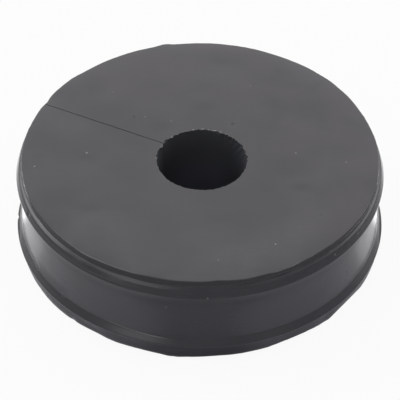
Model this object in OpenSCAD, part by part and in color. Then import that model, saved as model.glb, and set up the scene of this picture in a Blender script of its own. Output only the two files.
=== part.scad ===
// Split rubber grommet: a thick moulded disc with a cable bore, a shallow panel
// groove between two thin lips, and one hairline cut from the rim to the bore.
// Millimetres, +Z up. The origin is the middle of the bottom face, on the axis
// of the lips, and the part stands on that face.

/* [Overall] */
// Diameter over the two lips
lip_d = 50; // [40:0.5:70]
// Height from the bottom face to the top face
height = 14; // [12:0.5:24]

/* [Cable bore] */
// Diameter of the bore
bore_d = 12.2; // [6:0.1:20]
// How far the bore sits to the right of the lips' axis, as moulded
bore_shift_x = 0.25; // [-0.5:0.05:0.5]
// How far the bore sits behind the lips' axis, as moulded
bore_shift_y = -0.2; // [-0.5:0.05:0.5]

/* [Panel groove] */
// How deep the groove's wall lies below the lips
groove_depth = 0.72; // [0.5:0.02:1.5]
// Slope of the bottom lip's side in the groove, measured from the axis
bottom_flank = 37; // [15:1:60]
// Slope of the top lip's side in the groove, measured from the axis
top_flank = 50; // [15:1:60]
// Radius of the blend between the groove's wall and the lips
groove_blend = 0.4; // [0.1:0.1:2]

/* [Lips] */
// Width of the flat land round each lip's crest
lip_land = 0.18; // [0.05:0.01:0.4]
// Distance from each face to the outer edge of its lip's land
lip_inset = 2.45; // [2:0.02:3]
// How far the shoulder above the top lip lies in from the lips
shoulder_setback = 0.4; // [0.2:0.01:0.5]
// Distance from the top face to that shoulder
shoulder_h = 1.55; // [1.35:0.05:2]
// Height of the slope between the bottom lip and its collar
bottom_slope_h = 0.3; // [0.1:0.02:0.6]

/* [Collars] */
// How far the top face's edge lies in from the lips
top_setback = 0.69; // [0.4:0.01:1]
// Height of the straight trimmed band below the top face
top_band_h = 1.1; // [0.5:0.05:1.3]
// How far the foot of that band is cut in under the top face's edge
top_undercut = 0.05; // [0:0.01:0.2]
// How far the bottom collar lies in from the lips
bottom_setback = 0.5; // [0.3:0.01:1]
// Radius of the bottom face's edge
bottom_round = 0.7; // [0.1:0.05:1]

/* [Cut and trims] */
// Width of the hairline cut from the rim to the bore
slit_w = 0.1; // [0.05:0.01:1]
// Direction of the cut, counted from the right towards the back
slit_angle = 154; // [0:1:359]
// How far the cut passes beside the axis
slit_offset = -0.55; // [-1.5:0.05:1.5]
// Direction of the first knife flat on the bottom edge
trim_a_angle = -60; // [-180:1:180]
// How much the first knife flat takes off the bottom edge
trim_a_depth = 0.49; // [0.3:0.01:0.8]
// Direction of the second knife flat on the bottom edge
trim_b_angle = -35; // [-180:1:180]
// How much the second knife flat takes off the bottom edge
trim_b_depth = 0.61; // [0.3:0.01:0.8]
// How steeply the knife was held, measured from level
trim_tilt = 40; // [30:1:60]

/* [Hidden] */
smooth = 128;       // facets of the previewed circles
arc_steps = 6;      // chords in each rounded stretch of the section
past = 1;           // how far a cutting tool runs past what it cuts
lip_r = lip_d / 2;
top_r = lip_r - top_setback;
collar_r = lip_r - bottom_setback;
groove_r = lip_r - groove_depth;
band_r = top_r - top_undercut;
land_end = lip_inset + lip_land;        // groove side of each lip's land, from its own face

// Points of an arc in the section plane, from angle a0 to angle a1
function arc(centre, r, a0, a1) =
    [for (i = [0 : arc_steps]) let (a = a0 + (a1 - a0) * i / arc_steps)
        centre + r * [cos(a), sin(a)]];

// Radius of a flank's blend, limited so that a little straight flank is left
function blend(flank) = min(groove_blend, 0.8 * groove_depth / (1 - cos(flank)));

// Distance from the face to the far end of a flank's blend
function blend_end(flank) =
    land_end + (groove_depth - blend(flank) * (1 - cos(flank))) / tan(flank) + blend(flank) * sin(flank);

// The bottom lip from its face's edge up to the groove's wall
function bottom_side() = concat(
    arc([collar_r - bottom_round, bottom_round], bottom_round, -90, 0),
    [[collar_r, lip_inset - bottom_slope_h], [lip_r, lip_inset], [lip_r, land_end]],
    arc([groove_r + blend(bottom_flank), blend_end(bottom_flank)], blend(bottom_flank),
        180 + bottom_flank, 180));

// The top lip from the groove's wall up to the sharp edge of the top face
function top_side() = concat(
    arc([groove_r + blend(top_flank), height - blend_end(top_flank)], blend(top_flank),
        180, 180 - top_flank),
    [[lip_r, height - land_end], [lip_r, height - lip_inset],
     [lip_r - shoulder_setback, height - shoulder_h],
     [band_r, height - top_band_h], [top_r, height]]);

// Half section of the disc, from the axis to the rim
module section() {
    polygon(concat([[0, 0]], bottom_side(), top_side(), [[0, height]]));
}

// Bore through the disc
module bore() {
    translate([bore_shift_x, bore_shift_y, -past])
        cylinder(h = height + 2 * past, d = bore_d, $fn = smooth);
}

// Thin knife cut from inside the bore out through the rim
module slit() {
    rotate(slit_angle)
        translate([0, slit_offset - slit_w / 2, -past])
            cube([lip_r + past, slit_w, height + 2 * past]);
}

// Flat left by one straight knife stroke across the bottom edge
module knife_flat(angle, depth) {
    rotate([0, trim_tilt, angle])
        translate([collar_r * cos(trim_tilt) - depth, -lip_r, -lip_r])
            cube([lip_r, lip_d, lip_d]);
}

// The whole grommet, moulded in one piece and then cut and trimmed
module grommet() {
    color([0.13, 0.13, 0.135])
        difference() {
            rotate_extrude($fn = smooth) section();
            bore();
            slit();
            knife_flat(trim_a_angle, trim_a_depth);
            knife_flat(trim_b_angle, trim_b_depth);
        }
}

grommet();
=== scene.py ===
import math

import bmesh
import bpy
from mathutils import Matrix, Vector, noise


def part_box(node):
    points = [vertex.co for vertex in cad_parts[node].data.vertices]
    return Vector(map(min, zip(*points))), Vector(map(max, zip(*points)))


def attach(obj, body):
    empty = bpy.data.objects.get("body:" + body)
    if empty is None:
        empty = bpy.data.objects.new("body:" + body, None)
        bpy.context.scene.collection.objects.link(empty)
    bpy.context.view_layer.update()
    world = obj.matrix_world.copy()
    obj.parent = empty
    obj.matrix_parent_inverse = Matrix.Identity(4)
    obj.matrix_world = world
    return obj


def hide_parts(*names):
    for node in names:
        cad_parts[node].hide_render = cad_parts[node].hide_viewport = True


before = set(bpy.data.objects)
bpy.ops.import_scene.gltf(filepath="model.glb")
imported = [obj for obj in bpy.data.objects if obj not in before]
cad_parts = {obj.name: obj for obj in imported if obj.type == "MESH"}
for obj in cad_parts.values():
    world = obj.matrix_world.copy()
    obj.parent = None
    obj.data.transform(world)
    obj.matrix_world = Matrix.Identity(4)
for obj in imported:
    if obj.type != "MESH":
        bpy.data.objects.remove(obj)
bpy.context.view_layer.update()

# Sizes in millimetres. The overall ones come from the frame, and the others repeat the
# part's own sizes.
MM = 0.001
low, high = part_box("grommet")
LIP_R = (high[0] - low[0]) / 2 / MM
HEIGHT = (high[2] - low[2]) / MM
BORE_R = 6.1
BORE_X, BORE_Y = 0.25, -0.2
GROOVE_R = LIP_R - 0.72
GROOVE_BLEND = 0.4
BOTTOM_FLANK, TOP_FLANK = math.radians(37), math.radians(50)
TOP_R = LIP_R - 0.69
BAND_R, BAND_H = TOP_R - 0.05, 1.1
SHOULDER_R, SHOULDER_H = LIP_R - 0.38, 1.46
LAND_R, LAND_START, LAND_END = LIP_R - 0.02, 2.45, 2.63
COLLAR_R, COLLAR_H, COLLAR_ROUND = LIP_R - 0.5, 2.15, 0.7
EDGE_ROUND = 0.09
GROOVE_HOLLOW, HOLLOW_ROUND = 0.02, 60                 # the groove's wall is slightly hollow
ROLL_WIDTH, ROLL_DROP = 2.6, 0.055                     # how the top face rolls off towards its edge
SLIT_ANGLE, SLIT_OFFSET, SLIT_W = math.radians(154), -0.55, 0.09
TRIMS = ((-58, 0.58, 51), (-35, 0.52, 30))     # knife flats: azimuth, depth, tilt from level

# Unevenness round the rim. Each bump is (azimuth, half width, height), in degrees and millimetres.
# Azimuths count from the right towards the back.
TOP_EDGE_BUMPS = (
    (22, 12, -0.15), (60, 9, -0.06), (84, 10, 0.04), (102, 2.2, 0.27), (125, 8, -0.08),
    (129, 4, -0.08), (151.5, 2, -0.13), (160, 4.5, -0.09), (152, 6, -0.06), (168, 14, -0.08),
    (231, 5, 0.12), (276, 2.5, -0.15), (285, 4, 0.22), (297, 6, 0.19), (332, 12, 0.08))
BOTTOM_EDGE_BUMPS = (
    (190, 4, 0.17), (201, 5, -0.05), (217, 6, 0.03), (235, 5, -0.17), (250, 6, -0.08),
    (262, 3.5, 0.28), (268, 4, 0.07), (275, 5, -0.06), (290, 6, -0.05), (313, 3, -0.06),
    (346, 6, 0.08))
# Where the top lip's shoulder lies lower, and by how much, in the same form
LOW_SHOULDER = ((218, 20, 0.06),)
# Where the bore's rim is torn most, in the same form
TORN_RIM = ((150, 32, 0.9), (45, 36, 0.75))
# Small nicks in the side, as (azimuth, height, radius, depth). The last one is a pimple.
NICKS = (
    (179, 2.5, 0.35, 0.16), (202, 12.1, 0.24, 0.13), (226, 0.5, 0.45, 0.12),
    (262, 0.3, 0.4, 0.1), (222, 3.9, 0.25, 0.06), (228, 4.2, 0.25, 0.05),
    (278, 11.7, 0.22, 0.05), (322, 11.9, 0.22, -0.04))
# How far down the knife's band below the top face's edge reaches, as (azimuth, depth)
BAND_FEET = (
    (-166, 0), (-160, 0.75), (-152, 1.1), (-140, 1.15), (-118, 1.15), (-98, 0.85), (-64, 0.75),
    (-44, 1.0), (-35, 0.45), (-27, 0.6), (-20, 0.8), (-10, 0.8), (-5, 0))
# Stretches of the top face's edge that carry a painted highlight, as (from, to, strength) with
# azimuths
HIGHLIGHT_STRETCHES = ((217, 250, 1.0), (294, 313, 1.0), (318, 340, 0.4))

# A step scuffed into the groove's wall above the bottom lip: its azimuths, its heights at
# both, how far it stands out, and half the height over which it comes out
SCUFF, SCUFF_HEIGHTS = (-158, -136), (4.5, 3.95)
SCUFF_OUT, SCUFF_SOFT = 0.22, 0.11

# Mesh attributes that are 1 in the knife's band and where the top face's edge carries its painted
# highlight
KNIFED, PAINTED_HIGHLIGHT = "knife_band", "painted_edge_highlight"

# Mesh density
COLUMNS = 740
ARC_STEPS = 3
FACE_RINGS = 11
BORE_RINGS = 30
BOTTOM_RINGS = 5
BORE_CROWDING = 2.1                 # how much the bore's rings crowd towards the top face
RIM_ZONE = 3                        # how far in from the top face's edge the side's unevenness fades
SHARP_EDGE = math.radians(35)       # faces that meet at more than this have a sharp edge


def rounded(corners):
    """Points of a polyline whose corners (r, z, radius) are rounded by tangent arcs."""
    points = []
    for i, (r, z, radius) in enumerate(corners):
        here = Vector((r, z))
        if radius == 0:
            points.append(here)
            continue
        before = (Vector(corners[i - 1][:2]) - here).normalized()
        after = (Vector(corners[i + 1][:2]) - here).normalized()
        half = math.acos(max(-1.0, min(1.0, before.dot(after)))) / 2
        reach = radius / math.tan(half)
        centre = here + (before + after).normalized() * (radius / math.sin(half))
        start, end = here + before * reach - centre, here + after * reach - centre
        sweep = start.angle(end)
        for k in range(ARC_STEPS + 1):
            t = k / ARC_STEPS
            arm = (start * math.sin((1 - t) * sweep) + end * math.sin(t * sweep)) / math.sin(sweep)
            points.append(centre + arm)
    return points


def side_section():
    """Outer section from the bottom face's edge up to the top face's edge, as (r, z)."""
    foot_r = GROOVE_R + GROOVE_HOLLOW
    bottom_foot = LAND_END + (LAND_R - foot_r) / math.tan(BOTTOM_FLANK)
    top_foot = LAND_END + (LAND_R - foot_r) / math.tan(TOP_FLANK)
    return rounded([
        (COLLAR_R - 2 * COLLAR_ROUND, 0, 0),
        (COLLAR_R, 0, COLLAR_ROUND),
        (COLLAR_R, COLLAR_H, 0.15),
        (LAND_R, LAND_START, 0.1),
        (LAND_R, LAND_END, 0.15),
        (foot_r, bottom_foot, GROOVE_BLEND),
        (GROOVE_R - GROOVE_HOLLOW, HEIGHT / 2, HOLLOW_ROUND),
        (foot_r, HEIGHT - top_foot, GROOVE_BLEND),
        (LAND_R, HEIGHT - LAND_END, 0.06),
        (LAND_R, HEIGHT - LAND_START, 0.3),
        (SHOULDER_R, HEIGHT - SHOULDER_H, 0.4),
        (BAND_R, HEIGHT - BAND_H, 0.1),
        (TOP_R, HEIGHT, EDGE_ROUND),
        (TOP_R - 0.3, HEIGHT, 0),
    ])


def row_step(z):
    """Greatest distance between two rows of vertices at that height."""
    if z > HEIGHT - 1.5:
        return 0.11
    if 3.6 < z < 4.8:
        return 0.1
    return 0.9 if 4.8 < z < HEIGHT - 3.6 else 0.25


def densified(points):
    """The same polyline with more points where the side carries detail."""
    out = [points[0]]
    for a, b in zip(points, points[1:]):
        n = max(1, math.ceil((b - a).length / row_step((a.y + b.y) / 2)))
        out += [a.lerp(b, k / n) for k in range(1, n + 1)]
    return out


def slit_point(offset, radius, centre):
    """Where the cut's line meets a circle, on the far side."""
    ahead = Vector((math.cos(SLIT_ANGLE), math.sin(SLIT_ANGLE)))
    across = Vector((-ahead.y, ahead.x))
    start = across * offset - centre
    b = start.dot(ahead)
    reach = math.sqrt(b * b - start.length_squared + radius * radius)
    return centre + start + ahead * (reach - b)


def column_ends(t):
    """Bore and rim point of the column at t, from 0 at one face of the cut to 1 at the other."""
    bore_centre = Vector((BORE_X, BORE_Y))
    ends = []
    for radius, centre in ((BORE_R, bore_centre), (LIP_R, Vector((0, 0)))):
        first = slit_point(SLIT_OFFSET + SLIT_W / 2, radius, centre) - centre
        last = slit_point(SLIT_OFFSET - SLIT_W / 2, radius, centre) - centre
        a0 = math.atan2(first.y, first.x)
        a1 = math.atan2(last.y, last.x) + 2 * math.pi
        a = a0 + (a1 - a0) * t
        ends.append(centre + radius * Vector((math.cos(a), math.sin(a))))
    return ends


def on_column(bore, rim, radius):
    """Point of the column, beyond the bore, at that distance from the axis."""
    d = rim - bore
    b, c = bore.dot(d), bore.length_squared - radius * radius
    return bore + d * ((-b + math.sqrt(b * b - d.length_squared * c)) / d.length_squared)


def trimmed(p):
    """The point moved onto each knife flat that it stands proud of."""
    for azimuth, depth, tilt in TRIMS:
        angle, tilt = math.radians(azimuth), math.radians(tilt)
        lean = math.cos(tilt)
        n = Vector((math.cos(angle) * lean, math.sin(angle) * lean, -math.sin(tilt)))
        over = p.dot(n) - (COLLAR_R * lean - depth)
        if over > 0:
            p = p - n * over
    return p


def smooth_step(start, end, value):
    """0 up to start, 1 from end on and smooth in between."""
    t = min(1.0, max(0.0, (value - start) / (end - start)))
    return t * t * (3 - 2 * t)


def bumps(azimuth, features):
    """Sum of the rounded bumps at that azimuth, which is in radians."""
    total = 0
    for at, width, amount in features:
        off = (math.degrees(azimuth) - at + 180) % 360 - 180
        total += amount * math.exp(-(off / width) ** 2)
    return total


def along(azimuth, detail, seed):
    """Smooth random number from -1 to 1, with about that much detail in a turn round the disc."""
    reach = detail / (2 * math.pi)
    return noise.noise(Vector((math.cos(azimuth) * reach, math.sin(azimuth) * reach, seed * 7.3)))


def band_foot(azimuth):
    """How far down the knife's band reaches there. Its foot is torn in places."""
    degrees = (math.degrees(azimuth) + 180) % 360 - 180
    for (a, depth_a), (b, depth_b) in zip(BAND_FEET, BAND_FEET[1:]):
        if a <= degrees < b:
            depth = depth_a + (depth_b - depth_a) * (degrees - a) / (b - a)
            torn = 0.25 * math.floor(3 * along(azimuth, 40, 7) + 0.5) / 3
            torn += 0.16 * along(azimuth, 130, 8)
            ragged = 0.2 + 0.8 * smooth_step(-80, -50, degrees)
            return max(0.0, depth + depth * ragged * torn)
    return 0.0


def in_band(azimuth, down):
    """Share of the knife's band at that place."""
    foot = band_foot(azimuth)
    return smooth_step(0.0, 0.12, down) * (1 - smooth_step(foot - 0.06, foot + 0.06, down))


def edge_highlight(azimuth):
    """How strong the painted highlight on the top face's edge is there."""
    degrees = math.degrees(azimuth) % 360
    share = 0.0
    for start, end, strength in HIGHLIGHT_STRETCHES:
        inside = strength * smooth_step(start - 3, start + 3, degrees)
        share += inside * (1 - smooth_step(end - 3, end + 3, degrees))
    return share * smooth_step(-0.5, 0.3, along(azimuth, 70, 15))


def scuffed(azimuth, z):
    """Share of the scuffed step at that place. It ends in the bottom lip's side."""
    start, end = SCUFF
    t = ((math.degrees(azimuth) + 180) % 360 - 180 - start) / (end - start)
    if not 0 < t < 1:
        return 0.0
    level = SCUFF_HEIGHTS[0] + (SCUFF_HEIGHTS[1] - SCUFF_HEIGHTS[0]) * t
    fade = smooth_step(0, 0.25, t) * (1 - smooth_step(0.85, 1, t))
    below = 1 - smooth_step(level - SCUFF_SOFT, level + SCUFF_SOFT, z)
    return fade * below * smooth_step(3.3, 3.7, z)


def side_unevenness(azimuth, z):
    """How far the side stands out at that place, from trimming, wear and moulding."""
    down = HEIGHT - z
    out = 0.015 * along(azimuth, 9, 1) + 0.008 * along(azimuth, 40, 2)
    edge = bumps(azimuth, TOP_EDGE_BUMPS) + 0.05 * along(azimuth, 60, 3)
    edge += 0.03 * along(azimuth, 200, 4)
    out += edge * (1 - smooth_step(0.1, BAND_H + 0.3, down))
    foot = bumps(azimuth, BOTTOM_EDGE_BUMPS) + 0.05 * along(azimuth, 50, 5)
    foot += 0.02 * along(azimuth, 160, 6)
    out += foot * (1 - smooth_step(0.9, 2.1, z))
    # The knife left a shallow step at the foot of its band
    if down < 1.7:
        out -= in_band(azimuth, down) * (0.05 + 0.03 * along(azimuth, 25, 9))
    # The shoulder lies lower at the front left
    low_shoulder = bumps(azimuth, LOW_SHOULDER)
    out += low_shoulder * smooth_step(1.35, 1.65, down) * (1 - smooth_step(1.65, 2.35, down))
    if 3 < z < 5:
        out += SCUFF_OUT * scuffed(azimuth, z)
    for at, height, radius, depth in NICKS:
        off = ((math.degrees(azimuth) - at + 180) % 360 - 180) * math.pi / 180 * LIP_R
        out -= depth * math.exp(-(off * off + (z - height) ** 2) / (radius * radius))
    return out


def bore_unevenness(azimuth, down):
    """How far the bore's wall is cut into the rubber: a torn rim, and the cutter's slanting ribs."""
    degrees = math.degrees(azimuth)
    ragged = 0.3 + bumps(azimuth, TORN_RIM)
    torn = ragged * (0.3 * along(azimuth, 75, 11) + 0.22 * along(azimuth, 170, 12)) + 0.03
    right = math.exp(-((degrees - 34) / 22) ** 2)
    ribs = 0.035 * right * math.sin(40 * (azimuth - 0.11 * down)) * math.exp(-down * down / 9)
    return torn * math.exp(-down / 0.35) + ribs + 0.05 * along(azimuth, 9, 14)


def shaped(p, bore_share):
    """A point of the ideal body, moved by the unevenness of the side or the bore."""
    if bore_share > 0:
        arm = Vector((p.x - BORE_X, p.y - BORE_Y, 0))
        out = bore_share * bore_unevenness(math.atan2(arm.y, arm.x), HEIGHT - p.z)
        return p + arm.normalized() * out
    radius = math.hypot(p.x, p.y)
    if radius < TOP_R - RIM_ZONE:
        return p
    share = smooth_step(TOP_R - RIM_ZONE, TOP_R - 0.4, radius)
    out = share * side_unevenness(math.atan2(p.y, p.x), p.z)
    out = min(out, LIP_R - radius)
    roll = max(0.0, radius - TOP_R + ROLL_WIDTH) / ROLL_WIDTH
    down = ROLL_DROP * min(1.0, roll * roll) * (1 - smooth_step(0.0, 0.5, HEIGHT - p.z))
    return p + Vector((p.x * out / radius, p.y * out / radius, -down))


def build_grommet():
    """The whole body as one closed mesh, in metres."""
    side = densified(side_section())
    bm = bmesh.new()
    knifed = bm.verts.layers.float.new(KNIFED)
    highlight_layer = bm.verts.layers.float.new(PAINTED_HIGHLIGHT)
    edge_row = min(range(len(side)), key=lambda k: abs(HEIGHT - EDGE_ROUND / 2 - side[k].y))
    columns = []
    for i in range(COLUMNS + 1):
        bore, rim = column_ends(i / COLUMNS)
        ring = []
        for r, z in side:
            q = on_column(bore, rim, r)
            ring.append(trimmed(shaped(Vector((q.x, q.y, z)), 0)))
        edge = on_column(bore, rim, side[-1].x)
        for k in range(1, FACE_RINGS):
            # The rings crowd towards the rim and towards the bore
            t = (1 - math.cos(math.pi * k / FACE_RINGS)) / 2
            q = edge.lerp(bore, t)
            near = 1 - smooth_step(0, 0.6, (q - bore).length)
            ring.append(shaped(Vector((q.x, q.y, HEIGHT)), near))
        ring.append(shaped(Vector((bore.x, bore.y, HEIGHT)), 1))
        for k in range(1, BORE_RINGS + 1):
            z = HEIGHT * (1 - (k / BORE_RINGS) ** BORE_CROWDING)
            ring.append(shaped(Vector((bore.x, bore.y, z)), 1))
        edge = on_column(bore, rim, side[0].x)
        for k in range(1, BOTTOM_RINGS):
            q = bore.lerp(edge, k / BOTTOM_RINGS)
            ring.append(Vector((q.x, q.y, 0)))
        columns.append([bm.verts.new(p * MM) for p in ring])
        azimuth = math.atan2(rim.y, rim.x)
        # Painted highlight: rows at the top face's edge carry its share
        for k in range(edge_row, edge_row + 3):
            columns[-1][k][highlight_layer] = edge_highlight(azimuth)
        for k, (r, z) in enumerate(side):
            if z > HEIGHT - 1.7:
                columns[-1][k][knifed] = in_band(azimuth, HEIGHT - z)
    n = len(columns[0])
    for a, b in zip(columns, columns[1:]):
        for k in range(n):
            bm.faces.new((a[k], b[k], b[(k + 1) % n], a[(k + 1) % n]))
    bm.faces.new(columns[0])
    bm.faces.new(columns[-1][::-1])
    bm.normal_update()
    bmesh.ops.recalc_face_normals(bm, faces=bm.faces)
    for f in bm.faces:
        f.smooth = True
    for e in bm.edges:
        if len(e.link_faces) == 2 and e.calc_face_angle(0) > SHARP_EDGE:
            e.smooth = False
    mesh = bpy.data.meshes.new("rubber_grommet")
    bm.to_mesh(mesh)
    bm.free()
    piece = bpy.data.objects.new("rubber_grommet", mesh)
    bpy.context.scene.collection.objects.link(piece)
    return piece


class Graph:
    """A node tree and short ways to add to it. Inputs are numbers, tuples or sockets."""

    def __init__(self, tree):
        self.tree = tree

    def put(self, socket, value):
        """Set a socket to a number or colour, or link a socket to it."""
        if isinstance(value, bpy.types.NodeSocket):
            self.tree.links.new(value, socket)
        else:
            socket.default_value = value

    def node(self, kind, **inputs):
        """New node whose inputs are set by name, with _ for a space."""
        node = self.tree.nodes.new(kind)
        for name, value in inputs.items():
            self.put(node.inputs[name.replace("_", " ")], value)
        return node

    def math(self, operation, *values):
        """Output of a math node."""
        node = self.tree.nodes.new("ShaderNodeMath")
        node.operation = operation
        for socket, value in zip(node.inputs, values):
            self.put(socket, value)
        return node.outputs[0]

    def vector(self, operation, *values):
        """Vector math node."""
        node = self.tree.nodes.new("ShaderNodeVectorMath")
        node.operation = operation
        for socket, value in zip(node.inputs, values):
            self.put(socket, value)
        return node

    def ramp(self, value, start, end, to_start=0.0, to_end=1.0):
        """Smooth step from to_start at start to to_end at end, clamped."""
        node = self.tree.nodes.new("ShaderNodeMapRange")
        node.interpolation_type = "SMOOTHSTEP"
        for socket, given in zip(node.inputs, (value, start, end, to_start, to_end)):
            self.put(socket, given)
        return node.outputs["Result"]

    def blend(self, share, a, b):
        """Number between a and b."""
        node = self.tree.nodes.new("ShaderNodeMix")
        for socket, given in zip((node.inputs[0], node.inputs[2], node.inputs[3]), (share, a, b)):
            self.put(socket, given)
        return node.outputs[0]

    def tint(self, share, a, b):
        """Colour between a and b."""
        node = self.tree.nodes.new("ShaderNodeMix")
        node.data_type = "RGBA"
        for socket, given in zip((node.inputs[0], node.inputs[6], node.inputs[7]), (share, a, b)):
            self.put(socket, given)
        return node.outputs[2]

    def attribute(self, name):
        """Value of a mesh attribute."""
        node = self.tree.nodes.new("ShaderNodeAttribute")
        node.attribute_name = name
        return node.outputs["Fac"]

    def noise(self, place, scale, detail=2.0, roughness=0.5):
        """Noise value, about 0.5 in the middle."""
        node = self.node(
            "ShaderNodeTexNoise", Vector=place, Scale=scale, Detail=detail, Roughness=roughness)
        return node.outputs[0]


def new_material(name):
    """Empty node material: (material, graph, principled shader)."""
    mat = bpy.data.materials.new(name)
    mat.use_nodes = True
    return mat, Graph(mat.node_tree), mat.node_tree.nodes["Principled BSDF"]


# Rubber
SKIN_ROUGHNESS, BAND_ROUGHNESS, BORE_ROUGHNESS = 0.25, 0.9, 0.6
FACE_DARK, FACE_LIGHT = (0.0070, 0.0074, 0.0106, 1), (0.0184, 0.0186, 0.0222, 1)
FACE_WARM, FACE_WORN = (0.0210, 0.0165, 0.0205, 1), (0.0060, 0.0068, 0.0095, 1)
SIDE_DARK, SIDE_LIGHT = (0.0090, 0.0100, 0.0155, 1), (0.0162, 0.0174, 0.0230, 1)
# Lighter, less blue colour painted on the left of the side, as painted light
SIDE_LEFT_LIT = (0.0150, 0.0153, 0.0180, 1)
WEAR_COLOUR = (0.033, 0.034, 0.038, 1)
# The dark dots' colour also paints the shade at the bottom lip's left and right ends
LINE_COLOUR, DARK_DOT_AND_SHADE_COLOUR = (0.075, 0.076, 0.08, 1), (0.004, 0.004, 0.006, 1)
BAND_COLOUR = (0.028, 0.029, 0.033, 1)
# The bore's deep colour is painted light, paler further down; its side colour is painted shade
BORE_TOP_COLOUR, BORE_DEEP_PAINTED_LIGHT = (0.032, 0.034, 0.037, 1), (0.080, 0.085, 0.108, 1)
BORE_SIDE_PAINTED_SHADE = (0.024, 0.026, 0.031, 1)
SHRED_COLOUR = (0.2, 0.2, 0.21, 1)
# Pale colour of the painted highlight on the top face's edge
HIGHLIGHT_COLOUR = (0.07, 0.07, 0.073, 1)
DUST_COLOUR = (0.15, 0.15, 0.15, 1)
DARK_PATCH_COLOUR = (0.0045, 0.0045, 0.0075, 1)
RUBBER_IOR = 1.5
GRAIN_HEIGHT, WALL_UNEVEN, FURROW_HEIGHT = 0.004, 0.03, 0.05      # millimetres

# Marks on the top face, as (x, y, radius) in millimetres from the axis
SPECKS = (
    (-22.4, -1.8, 0.17), (-15.4, 1.0, 0.22), (-7.6, 8.5, 0.13), (-4.0, 7.7, 0.11),
    (13.0, 1.3, 0.15), (19.8, -0.5, 0.12), (10.1, -16.9, 0.17), (2.5, -20.1, 0.1),
    (-12.1, 13.6, 0.09), (6.9, 15.2, 0.08))
PITS = ((-9.1, 8.5, 0.22), (4.4, 7.2, 0.25), (16.1, -11.2, 0.12))
DARK_PATCHES = (
    (0.7, 10.8, 1.5), (13.6, -5.6, 1.6), (12.0, -1.5, 3.4), (-14.6, -9.9, 1.3), (2.8, -11.8, 1.6),
    (-5.4, 6.6, 1.5), (-15.5, 0.2, 1.2), (3.0, 20.4, 1.0))
# Pale and dark spots on the side, as (azimuth, height, radius)
PALE_DOTS = ((-31, 12.2, 0.14), (-87.4, 11.6, 0.13), (-100.3, 9.0, 0.13), (-43.2, 12.2, 0.14))
DARK_DOTS = (
    (-158, 12.1, 0.22), (179, 2.5, 0.45), (-37.3, 12.55, 0.16), (-25.2, 12.55, 0.16),
    (-35.2, 6.3, 0.14), (-34.8, 5.6, 0.12), (-36.1, 5.1, 0.12))
# Lines on the side, as (azimuths, heights, half width)
PALE_LINES = (((-123, -98), (3.7, 3.3), 0.12),)


def spots(g, place, marks, wide=1.0, soft=0.5):
    """Share of the surface that the marks on the top face cover. Wide stretches them along X."""
    total = None
    flat = g.vector("MULTIPLY", place, (1 / wide, 1, 0)).outputs[0]
    for x, y, radius in marks:
        away = g.vector("DISTANCE", flat, (x / wide, y, 0)).outputs["Value"]
        one = g.ramp(away, radius * (1 - soft), radius, 1.0, 0.0)
        total = one if total is None else g.math("MAXIMUM", total, one)
    return total


def dots(g, azimuth, height, marks):
    """Share of the surface that the spots on the side cover."""
    total = None
    for at, level, radius in marks:
        round_disc = g.math("MULTIPLY_ADD", azimuth, math.radians(LIP_R), -math.radians(at) * LIP_R)
        offset = g.node("ShaderNodeCombineXYZ", X=round_disc, Y=g.math("SUBTRACT", height, level))
        away = g.vector("LENGTH", offset.outputs[0]).outputs["Value"]
        one = g.ramp(away, 0.3 * radius, radius, 1.0, 0.0)
        total = one if total is None else g.math("MAXIMUM", total, one)
    return total


def lines(g, azimuth, height, marks):
    """Share of the surface that the lines on the side cover. They fade out at both ends."""
    total = None
    for (start, end), (from_height, to_height), half_width in marks:
        slope = (to_height - from_height) / (end - start)
        middle = g.math("MULTIPLY_ADD", azimuth, slope, from_height - slope * start)
        away = g.math("ABSOLUTE", g.math("SUBTRACT", height, middle))
        one = g.ramp(away, 0.0, half_width, 1.0, 0.0)
        one = g.math("MULTIPLY", one, g.ramp(azimuth, start, start + 6))
        one = g.math("MULTIPLY", one, g.ramp(azimuth, end - 6, end, 1.0, 0.0))
        total = one if total is None else g.math("MAXIMUM", total, one)
    return total


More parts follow.
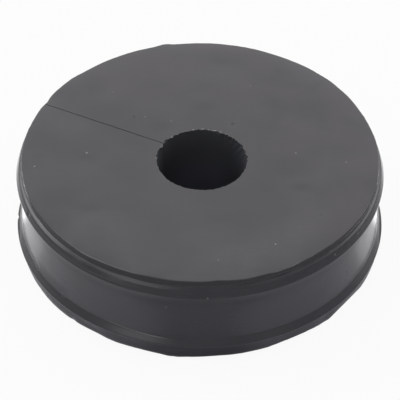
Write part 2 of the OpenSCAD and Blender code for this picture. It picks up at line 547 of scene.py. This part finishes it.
def rubber_material():
    """Black moulded rubber: satin skin, matt where a knife or a cutter has been, dusty in places."""
    mat, g, shader = new_material("black_rubber")
    place = g.vector("SCALE", g.node("ShaderNodeTexCoord").outputs["Object"])
    place.inputs["Scale"].default_value = 1 / MM
    place = place.outputs[0]
    axes = g.node("ShaderNodeSeparateXYZ", Vector=place)
    height = axes.outputs["Z"]
    flat = g.vector("MULTIPLY", place, (1, 1, 0)).outputs[0]
    from_bore = g.vector("DISTANCE", flat, (BORE_X, BORE_Y, 0)).outputs["Value"]
    azimuth = g.math("DEGREES", g.math("ARCTAN2", axes.outputs["Y"], axes.outputs["X"]))
    down = g.math("SUBTRACT", HEIGHT, height)
    on_top = g.ramp(down, 0.06, 0.1, 1.0, 0.0)

    # Skin: a cloudy film, drawn out across the top face into short streaks
    cloudy = g.noise(place, 0.13, 3.0)
    streaks = g.noise(g.vector("MULTIPLY", place, (0.22, 1.5, 0.3)).outputs[0], 0.9, 2.0)
    film = g.math("MULTIPLY_ADD", streaks, 0.2, g.math("MULTIPLY", cloudy, 0.8))
    film = g.ramp(film, 0.3, 0.7)
    rough = g.blend(film, SKIN_ROUGHNESS - 0.01, SKIN_ROUGHNESS + 0.02)
    face = g.tint(film, FACE_DARK, FACE_LIGHT)
    warm = g.ramp(g.noise(place, 0.17, 2.0), 0.4, 0.6)
    back_right = g.ramp(g.math("ADD", axes.outputs["X"], axes.outputs["Y"]), -6, 14, 0.1, 0.6)
    warm = g.math("MULTIPLY", warm, back_right)
    face = g.tint(warm, face, FACE_WARM)
    # The film is thinner round the bore
    face = g.tint(g.ramp(from_bore, 9, 20, 0.45, 0.0), face, FACE_WORN)
    side = g.tint(film, SIDE_DARK, SIDE_LIGHT)
    # Painted light: the side is painted lighter and less blue towards the left, where more light
    # falls
    side = g.tint(g.ramp(axes.outputs["X"], -18, 0, 0.7, 0.0), side, SIDE_LEFT_LIT)
    colour = g.tint(on_top, side, face)

    # Streaks of wear run round the collar and the lips, most of all at the front left
    round_rim = g.math("MULTIPLY", azimuth, 0.09)
    drawn_out = g.node("ShaderNodeCombineXYZ", X=round_rim, Y=g.math("MULTIPLY", height, 4.5))
    wear = g.ramp(g.noise(drawn_out.outputs[0], 1.0, 3.0), 0.45, 0.72)
    where = g.math("MULTIPLY", g.ramp(azimuth, -142, -125), g.ramp(azimuth, -112, -98, 1.0, 0.2))
    on_collar = g.math("MULTIPLY", g.ramp(down, 0.7, 1.0), g.ramp(down, 2.6, 3.4, 1.0, 0.0))
    on_lip = g.ramp(height, 2.2, 2.4, 0.0, 0.15)
    on_lip = g.math("MULTIPLY", on_lip, g.ramp(height, 3.4, 3.6, 1.0, 0.0))
    wear = g.math("MULTIPLY", wear, g.math("MULTIPLY", where, g.math("MAXIMUM", on_collar, on_lip)))
    colour = g.tint(wear, colour, WEAR_COLOUR)
    rough = g.blend(wear, rough, 0.4)

    # Band that the knife left below the top face's edge
    band = g.ramp(g.attribute(KNIFED), 0.2, 0.8)
    rough = g.blend(band, rough, BAND_ROUGHNESS)
    colour = g.tint(band, colour, g.tint(wear, BAND_COLOUR, WEAR_COLOUR))

    # Painted shade: the bottom lip is painted dark at its left and right ends, where it lies in
    # shadow
    lip_side_shade = g.ramp(g.math("ABSOLUTE", axes.outputs["X"]), LIP_R - 0.7, LIP_R - 0.25, 0.0, 0.8)
    lip_side_shade = g.math("MULTIPLY", lip_side_shade, g.ramp(height, 2.9, 3.3, 1.0, 0.0))
    colour = g.tint(lip_side_shade, colour, DARK_DOT_AND_SHADE_COLOUR)
    rough = g.blend(lip_side_shade, rough, 0.9)

    # Single lines and dots on the side
    colour = g.tint(lines(g, azimuth, height, PALE_LINES), colour, LINE_COLOUR)
    dark = dots(g, azimuth, height, DARK_DOTS)
    colour = g.tint(dark, colour, DARK_DOT_AND_SHADE_COLOUR)
    rough = g.blend(dark, rough, 0.9)
    colour = g.tint(dots(g, azimuth, height, PALE_DOTS), colour, DUST_COLOUR)

    # Bore: a dusty matt wall, with pale torn shreds at its back and left rim. It is painted paler
    # further down as painted light, and darker at its left and right as painted shade
    in_bore = g.ramp(from_bore, BORE_R + 0.45, BORE_R + 0.55, 1.0, 0.0)
    in_bore = g.math("MULTIPLY", in_bore, g.ramp(down, 0.03, 0.1))
    # Painted light: the bore's wall is painted paler further down, making up for the light that
    # falls off with depth
    wall = g.tint(g.ramp(down, 3.0, 10.5), BORE_TOP_COLOUR, BORE_DEEP_PAINTED_LIGHT)
    # Painted shade: its left and right walls, seen at a slant, are painted darker
    aside = g.ramp(g.math("ABSOLUTE", axes.outputs["X"]), 1.2, 5.5)
    wall = g.tint(aside, wall, BORE_SIDE_PAINTED_SHADE)
    rough = g.blend(in_bore, rough, BORE_ROUGHNESS)
    colour = g.tint(in_bore, colour, wall)
    at_rim = g.ramp(from_bore, BORE_R + 0.1, BORE_R + 0.32, 1.0, 0.0)
    at_rim = g.math("MULTIPLY", at_rim, g.ramp(down, 0.25, 0.45, 1.0, 0.0))
    back_left = g.ramp(g.math("SUBTRACT", axes.outputs["Y"], axes.outputs["X"]), -0.5, 4.0)
    shreds = g.ramp(g.noise(place, 2.6, 2.0), 0.6, 0.68)
    shreds = g.math("MULTIPLY", g.math("MULTIPLY", shreds, at_rim), back_left)
    colour = g.tint(shreds, colour, SHRED_COLOUR)

    # Painted highlight: the top face's edge is painted pale in places, standing in for the highlight
    # along it
    colour = g.tint(g.attribute(PAINTED_HIGHLIGHT), colour, HIGHLIGHT_COLOUR)

    # Dust, pits and darker patches on the top face
    dust = g.math("MULTIPLY", spots(g, place, SPECKS, 1.0, 0.8), on_top)
    colour = g.tint(dust, colour, DUST_COLOUR)
    pits = g.math("MULTIPLY", spots(g, place, PITS, 1.5, 0.8), on_top)
    rough = g.blend(g.math("MULTIPLY", pits, 0.8), rough, 0.9)
    dark_patches = g.math("MULTIPLY", spots(g, place, DARK_PATCHES, 1.7, 0.95), on_top)
    dark_patches = g.math("MULTIPLY", dark_patches, g.ramp(streaks, 0.3, 0.6, 0.5, 1.0))
    colour = g.tint(dark_patches, colour, DARK_PATCH_COLOUR)

    g.put(shader.inputs["Base Color"], colour)
    g.put(shader.inputs["Roughness"], rough)
    shader.inputs["IOR"].default_value = RUBBER_IOR

    # Fine grain of the skin, and furrows in the knife band
    grain = g.noise(place, 2.2, 4.0, 0.6)
    furrows = g.noise(g.vector("MULTIPLY", place, (0.25, 0.25, 3.0)).outputs[0], 2.0, 2.0)
    on_wall = g.math("MULTIPLY", g.ramp(height, 3.6, 4.6), g.ramp(height, 9.2, 10.2, 1.0, 0.0))
    uneven = g.math("MULTIPLY", g.noise(place, 0.5, 2.0), g.math("MULTIPLY", on_wall, WALL_UNEVEN))
    skin = g.math("MULTIPLY_ADD", grain, GRAIN_HEIGHT, uneven)
    relief = g.blend(band, skin, g.math("MULTIPLY", furrows, FURROW_HEIGHT))
    bump = g.node("ShaderNodeBump", Height=relief, Strength=1.0, Distance=MM)
    g.put(shader.inputs["Normal"], bump.outputs[0])
    return mat


# Floor. Its glow is seen in reflections only, and stands for the overexposed sheet round the
# object. It grows towards the back, as (from, to) along Y in millimetres and rise.
FLOOR_HALF = 0.06           # metres
FLOOR_COLOUR = 0.46
FLOOR_WHITE = 0.93          # how much of the floor's white the camera sees whatever falls on it
GLOW_FRONT, GLOW_BESIDE = 0.18, 0.33
GLOW_RAMPS = (((-27, -17), -0.12), ((-9, -5.4), 0.42), ((-5.4, 0.5), 0.05), ((0.8, 3.4), 1.6))
GLOW_TINT, GLOW_TINT_BACK = (0.97, 0.97, 1.09, 1), (1, 0.99, 1.01, 1)

# World. Directions are parts of a unit vector, and levels are strengths.
WORLD_LEVEL, WORLD_BACK, WORLD_ASIDE, WORLD_FRONT = 0.8, 1.6, -0.1, 0.62
WORLD_LOW_DROP = -0.3                       # how much darker it is near the horizon
HAZE_REACH, HAZE_DROP = (0.45, 0.9), -0.6   # where it grows darker upwards, and by how much
BOX_LOW, BOX_HIGH = (0.36, 0.46), (0.58, 0.68)
BOX_FRONT, BOX_BACK = (-0.3, 0.55), (0.62, 0.82)
BOX_LEFT, BOX_RIGHT = 4.4, 3.6
ROOM_LEVELS = (0.65, 0.4)       # extra level of the room at the left and right of the camera
TABLE_LEVEL = 0.7
WORLD_TINT = (1.012, 0.994, 1.0, 1)

# Lamps, as (name, place, size, power)
LAMPS = (
    ("soft_lamp", (-0.42, 0.17, 0.5), 0.45, 1.1),
    ("side_lamp", (-0.30, -0.42, 0.34), 0.26, 0.25))


def floor_material():
    """Pale floor that keeps the shadow. Reflections see its lit colour and a glow on it."""
    mat, g, shader = new_material("pale_floor")
    shader.inputs["Base Color"].default_value = (*[FLOOR_COLOUR] * 3, 1)
    shader.inputs["Roughness"].default_value = 0.9
    shader.inputs["Specular IOR Level"].default_value = 0.0
    path = g.node("ShaderNodeLightPath")
    glossy = g.math("MAXIMUM", path.outputs["Is Glossy Ray"], path.outputs["Is Transmission Ray"])
    position = g.node("ShaderNodeNewGeometry").outputs["Position"]
    place = g.node("ShaderNodeSeparateXYZ", Vector=position)
    away = g.vector("LENGTH", position).outputs["Value"]
    # It is weaker straight in front of the object
    beside = g.ramp(g.math("ABSOLUTE", place.outputs["X"]), 3 * MM, 12 * MM)
    beside = g.math("MULTIPLY", beside, g.ramp(place.outputs["Y"], -34 * MM, -28 * MM))
    level = g.math("MULTIPLY_ADD", beside, GLOW_BESIDE, GLOW_FRONT)
    for reach, rise in GLOW_RAMPS:
        start, end = (y * MM for y in reach)
        level = g.math("ADD", level, g.ramp(place.outputs["Y"], start, end, 0.0, rise))
    # It is a ring round the object, so that none of it is seen through the bore
    ring = g.math("MULTIPLY", g.ramp(away, 0.015, 0.021), g.ramp(away, 0.032, 0.042, 1.0, 0.0))
    level = g.math("MULTIPLY", level, ring)
    tint = g.tint(g.ramp(place.outputs["Y"], -14 * MM, -7 * MM), GLOW_TINT, GLOW_TINT_BACK)
    glow = g.node("ShaderNodeEmission", Color=tint, Strength=g.math("MULTIPLY", level, glossy))
    lit = g.node("ShaderNodeAddShader")
    g.put(lit.inputs[0], shader.outputs[0])
    g.put(lit.inputs[1], glow.outputs[0])
    white = g.node("ShaderNodeEmission", Color=(1, 1, 1, 1), Strength=1.0)
    seen = g.math("MULTIPLY", path.outputs["Is Camera Ray"], FLOOR_WHITE)
    mix = g.node("ShaderNodeMixShader", Fac=seen)
    g.put(mix.inputs[1], lit.outputs[0])
    g.put(mix.inputs[2], white.outputs[0])
    g.put(mat.node_tree.nodes["Material Output"].inputs["Surface"], mix.outputs[0])
    return mat


def build_world():
    """Plain studio: bright behind the object, dim on the camera's side, a soft box at each side."""
    world = bpy.data.worlds.new("studio")
    world.use_nodes = True
    bpy.context.scene.world = world
    g = Graph(world.node_tree)
    way = g.node("ShaderNodeSeparateXYZ", Vector=g.node("ShaderNodeTexCoord").outputs["Generated"])
    x, y, z = way.outputs["X"], way.outputs["Y"], way.outputs["Z"]
    aside = g.math("ABSOLUTE", x)
    level = g.math("MULTIPLY_ADD", y, WORLD_BACK, WORLD_LEVEL)
    level = g.math("ADD", level, g.ramp(z, *HAZE_REACH, 0.0, HAZE_DROP))
    level = g.math("ADD", level, g.ramp(z, 0.0, 0.4, WORLD_LOW_DROP, 0.0))
    level = g.math("MULTIPLY_ADD", x, WORLD_ASIDE, level)
    # The room beside the camera is paler than the camera's own side
    flank = g.math("MULTIPLY", g.ramp(aside, 0.35, 0.6), g.ramp(aside, 0.7, 0.85, 1.0, 0.0))
    flank = g.math("MULTIPLY", flank, g.ramp(x, -0.3, 0.3, *ROOM_LEVELS))
    flank = g.math("MULTIPLY", flank, g.ramp(z, 0.5, 0.62, 0.3, 1.25))
    level = g.math("MAXIMUM", level, g.math("ADD", flank, WORLD_FRONT))
    # Soft boxes beside the object, whose lower edges rise towards the camera
    low_edge = g.ramp(g.math("MULTIPLY_ADD", y, 0.45, z), *BOX_LOW)
    box = g.math("MULTIPLY", low_edge, g.ramp(z, *BOX_HIGH, 1.0, 0.0))
    box = g.math("MULTIPLY", box, g.ramp(y, *BOX_FRONT))
    box = g.math("MULTIPLY", box, g.ramp(y, *BOX_BACK, 1.0, 0.0))
    side = g.math("ADD", g.ramp(x, -0.3, -0.7, 0.0, BOX_LEFT), g.ramp(x, 0.3, 0.7, 0.0, BOX_RIGHT))
    level = g.math("MULTIPLY_ADD", box, side, level)
    # Below the horizon it is never brighter than the table round the sheet
    level = g.math("MINIMUM", level, g.ramp(z, -0.03, 0.08, TABLE_LEVEL, 9.0))
    plain = world.node_tree.nodes["Background"]
    plain.inputs["Color"].default_value = WORLD_TINT
    g.put(plain.inputs["Strength"], level)
    white = g.node("ShaderNodeBackground", Color=(1, 1, 1, 1), Strength=1.0)
    mix = g.node("ShaderNodeMixShader", Fac=g.node("ShaderNodeLightPath").outputs["Is Camera Ray"])
    g.put(mix.inputs[1], plain.outputs[0])
    g.put(mix.inputs[2], white.outputs[0])
    g.put(world.node_tree.nodes["World Output"].inputs["Surface"], mix.outputs[0])


def lamp(name, place, target, size, power):
    """Square area lamp that faces its target."""
    data = bpy.data.lights.new(name, "AREA")
    data.shape = "SQUARE"
    data.size = size
    data.energy = power
    obj = bpy.data.objects.new(name, data)
    obj.location = place
    obj.rotation_euler = (Vector(place) - Vector(target)).to_track_quat("Z", "Y").to_euler()
    bpy.context.scene.collection.objects.link(obj)


def build_stage():
    """Pale floor, plain world and soft lamps."""
    mesh = bpy.data.meshes.new("floor")
    half = FLOOR_HALF
    corners = [(-half, -half, 0), (half, -half, 0), (half, half, 0), (-half, half, 0)]
    mesh.from_pydata(corners, [], [(0, 1, 2, 3)])
    floor = bpy.data.objects.new("floor", mesh)
    bpy.context.scene.collection.objects.link(floor)
    mesh.materials.append(floor_material())
    build_world()
    face = (0, 0, HEIGHT * MM)
    for name, place, size, power in LAMPS:
        lamp(name, place, face, size, power)


def build_camera():
    """Camera at the photograph's angle, solved from the outlines of the top face and the lips."""
    elevation, roll = math.radians(41.81), math.radians(0.43)
    unit = 24.31 * MM                       # radius of the top face's edge
    distance = 24.32 * unit
    focal_px = 179.25 * 24.32
    face_px = (200.13, 158.63)              # the top face's middle in the 400 x 400 frame
    frame_px = 400
    view = Vector((0, -math.cos(elevation), math.sin(elevation)))
    level, lift = Vector((1, 0, 0)), Vector((0, math.sin(elevation), math.cos(elevation)))
    right = level * math.cos(roll) + lift * math.sin(roll)
    up = lift * math.cos(roll) - level * math.sin(roll)
    face = Vector((0, 0, HEIGHT * MM))
    place = face + view * distance
    aside = (frame_px / 2 - face_px[0]) / focal_px * distance
    below = (frame_px / 2 - face_px[1]) / focal_px * distance
    back = (place - (face + right * aside - up * below)).normalized()
    right = (right - back * right.dot(back)).normalized()
    up = back.cross(right)
    data = bpy.data.cameras.new("camera")
    data.sensor_width = 36
    data.lens = focal_px / frame_px * data.sensor_width
    data.clip_end = 10
    camera = bpy.data.objects.new("camera", data)
    camera.matrix_world = Matrix((
        (right.x, up.x, back.x, place.x),
        (right.y, up.y, back.y, place.y),
        (right.z, up.z, back.z, place.z),
        (0, 0, 0, 1)))
    bpy.context.scene.collection.objects.link(camera)
    bpy.context.scene.camera = camera


bpy.context.scene.view_settings.view_transform = "Standard"
build_camera()
build_stage()
grommet = build_grommet()
grommet.data.materials.append(rubber_material())
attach(grommet, "root")
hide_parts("grommet")
